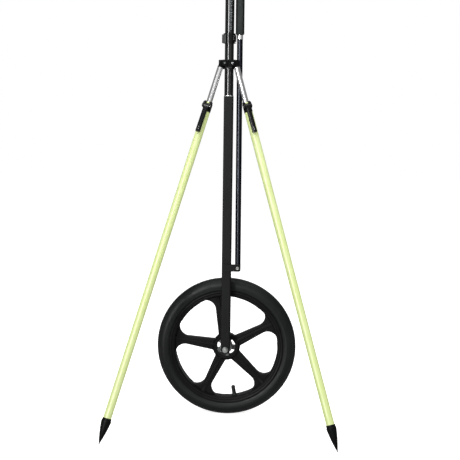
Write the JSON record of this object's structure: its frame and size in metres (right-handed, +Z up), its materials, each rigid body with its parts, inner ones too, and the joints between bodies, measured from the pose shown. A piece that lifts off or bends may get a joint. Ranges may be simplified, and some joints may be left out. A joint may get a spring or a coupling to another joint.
{
  "type": "wheeled survey pole with bipod",
  "caption": "Graduated survey pole rolling on an offset spoked wheel, held upright by a two-legged thumb-release bipod, with a folding push handle.",
  "frame": {"origin": "on the ground in the middle of the footprint, which runs from the two bipod points to the axle bolt's head; the wheel's middle plane is at y = 0.150965 and the pole's axis at x = 0, y = 0.110965", "axes": "+Z up along the pole, +Y along the axle from the bar side to the free side of the wheel, +X to the right when the bar side is seen; the handle is on the +X side and the bipod stands on the -Y side"},
  "size_m": [0.6296, 0.358, 1.816],
  "materials": {
    "wheel_plastic": "moulded black nylon, satin",
    "tyre_rubber": "smooth black rubber",
    "tube_rubber": "butyl rubber",
    "hub_alloy": "satin die cast",
    "bearing_steel": "ground",
    "zinc_steel": "bright zinc plate",
    "bar_paint": "black powder coat, fine texture",
    "pole_black": "gloss black anodised",
    "bright_alloy": "polished",
    "lever_grey": "moulded grey",
    "clamp_plastic": "moulded black, semi gloss",
    "leg_yellow": "fluorescent yellow-green paint",
    "foam_black": "closed-cell foam",
    "vial_plastic": "clear cast",
    "vial_fluid": "yellow-green fluid under a clear lens"
  },
  "bodies": {
    "frame": {"wheel_bar": "bar_paint", "pole_stud": "bright_alloy", "handle_bracket": "bar_paint", "lower_tube": "pole_black", "tube_foot": "hub_alloy", "tube_joiner": "hub_alloy", "upper_tube": "pole_black", "section_clamp": "clamp_plastic", "lever_hinge_pins": "zinc_steel", "level_bracket": "clamp_plastic", "level_vial": "vial_plastic", "level_glass": "vial_fluid", "extension_lock": "clamp_plastic", "bearing_inner_rings": "bearing_steel", "hub_spacers": "zinc_steel", "axle_bolt": "zinc_steel", "axle_washers": "zinc_steel", "axle_nut": "zinc_steel", "handle_bolt": "zinc_steel", "handle_nut": "zinc_steel"},
    "wheel": {"mag_wheel": "wheel_plastic", "tyre": "tyre_rubber", "inner_tube": "tube_rubber", "valve_cap": "clamp_plastic", "hub_core": "hub_alloy", "bearing_outer_rings": "bearing_steel", "bearing_balls": "bearing_steel"},
    "section_lever_arm": {"section_lever": "lever_grey"},
    "extension_lever_arm": {"extension_lever": "lever_grey"},
    "extension": {"extension_tube": "pole_black", "top_adapter": "bright_alloy"},
    "handle": {"handle_rod": "pole_black", "handle_plug": "clamp_plastic", "handle_ferrule": "bright_alloy", "handle_grip": "foam_black", "grip_cap": "clamp_plastic"},
    "bipod": {"bipod_head": "clamp_plastic", "hinge_pins": "zinc_steel"},
    "knob": {"head_knob": "clamp_plastic", "head_screw": "zinc_steel"},
    "leg_left": {"leg_eye_left": "clamp_plastic", "leg_inner_left": "bright_alloy", "leg_guide_left": "clamp_plastic"},
    "foot_left": {"leg_outer_left": "leg_yellow", "leg_clamp_left": "clamp_plastic", "lock_plate_left": "zinc_steel", "lever_pin_left": "zinc_steel", "lever_spring_left": "zinc_steel", "leg_point_left": "bar_paint"},
    "release_left": {"lever_left": "clamp_plastic"},
    "leg_right": {"leg_eye_right": "clamp_plastic", "leg_inner_right": "bright_alloy", "leg_guide_right": "clamp_plastic"},
    "foot_right": {"leg_outer_right": "leg_yellow", "leg_clamp_right": "clamp_plastic", "lock_plate_right": "zinc_steel", "lever_pin_right": "zinc_steel", "lever_spring_right": "zinc_steel", "leg_point_right": "bar_paint"},
    "release_right": {"lever_right": "clamp_plastic"}
  },
  "joints": [
    {"name": "wheel_spin", "type": "hinge", "parent": "frame", "child": "wheel", "pos_m": [0, 0.15096, 0.2], "axis": [0, 1, 0], "continuous": true},
    {"name": "handle_fold", "type": "hinge", "parent": "frame", "child": "handle", "pos_m": [0.032, 0.10681, 0.437], "axis": [0, 1, 0], "range_deg": [0, 80]},
    {"name": "pole_extend", "type": "slide", "parent": "frame", "child": "extension", "axis": [0, 0, 1], "range_m": [0, 0.2]},
    {"name": "extension_lever_open", "type": "hinge", "parent": "frame", "child": "extension_lever_arm", "pos_m": [-0.0166, 0.11936, 1.55], "axis": [0, 0, -1], "range_deg": [0, 100]},
    {"name": "section_lever_open", "type": "hinge", "parent": "frame", "child": "section_lever_arm", "pos_m": [-0.0162, 0.11936, 1.075], "axis": [0, 0, -1], "range_deg": [0, 100]},
    {"name": "bipod_slide", "type": "slide", "parent": "frame", "child": "bipod", "axis": [0, 0, 1], "range_m": [-0.06, 0.04]},
    {"name": "knob_turn", "type": "hinge", "parent": "bipod", "child": "knob", "pos_m": [0, 0.14097, 1.0045], "axis": [0, 1, 0], "range_deg": [0, 270]},
    {"name": "leg_left_swing", "type": "hinge", "parent": "bipod", "child": "leg_left", "pos_m": [-0.0192, 0.08897, 1.008], "axis": [-0.6715, 0.741, 0], "range_deg": [-13.5, 8.5]},
    {"name": "leg_left_extend", "type": "slide", "parent": "leg_left", "child": "foot_left", "axis": [-0.2724, -0.2468, -0.93], "range_m": [0, 0.6]},
    {"name": "release_left_squeeze", "type": "hinge", "parent": "foot_left", "child": "release_left", "pos_m": [-0.05653, 0.0407, 0.89196], "axis": [0.9555, -0.1829, -0.2313], "range_deg": [0, 5]},
    {"name": "leg_right_swing", "type": "hinge", "parent": "bipod", "child": "leg_right", "pos_m": [0.0192, 0.08897, 1.008], "axis": [-0.6715, -0.741, 0], "range_deg": [-13.5, 8.5]},
    {"name": "leg_right_extend", "type": "slide", "parent": "leg_right", "child": "foot_right", "axis": [0.2724, -0.2468, -0.93], "range_m": [0, 0.6]},
    {"name": "release_right_squeeze", "type": "hinge", "parent": "foot_right", "child": "release_right", "pos_m": [0.05653, 0.0407, 0.89196], "axis": [0.9555, 0.1829, 0.2313], "range_deg": [0, 5]}
  ]
}
